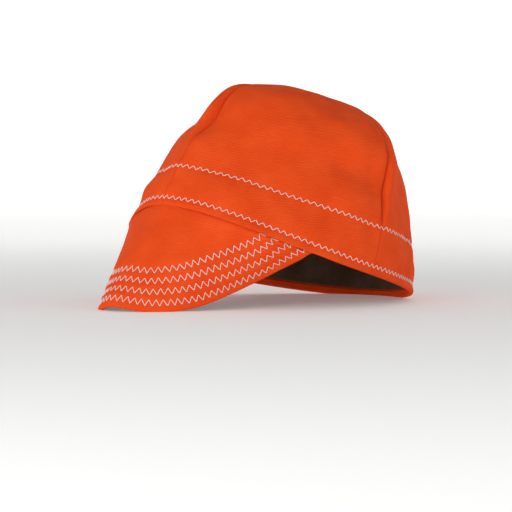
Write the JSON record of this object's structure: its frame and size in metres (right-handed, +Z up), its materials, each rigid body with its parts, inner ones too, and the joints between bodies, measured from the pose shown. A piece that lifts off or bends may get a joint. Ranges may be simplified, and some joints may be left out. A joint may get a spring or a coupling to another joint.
{
  "type": "welding cap",
  "caption": "Round cloth cap sewn from gores, open below for the head, with a short soft visor that curves steeply down over the brow.",
  "frame": {"origin": "on the surface that the cap rests on, under the middle of its bounding box", "axes": "+Z up; the visor points to -Y; the wearer's left side is +X"},
  "size_m": [0.1724, 0.2412, 0.1373],
  "materials": {
    "orange_twill": "matt woven twill",
    "dark_cotton": "matt woven cotton"
  },
  "bodies": {
    "root": {"crown_left_front": "orange_twill", "crown_left_back": "orange_twill", "crown_right_back": "orange_twill", "crown_right_front": "orange_twill", "sweatband": "dark_cotton", "visor_top": "orange_twill", "visor_lining": "dark_cotton"}
  },
  "joints": []
}
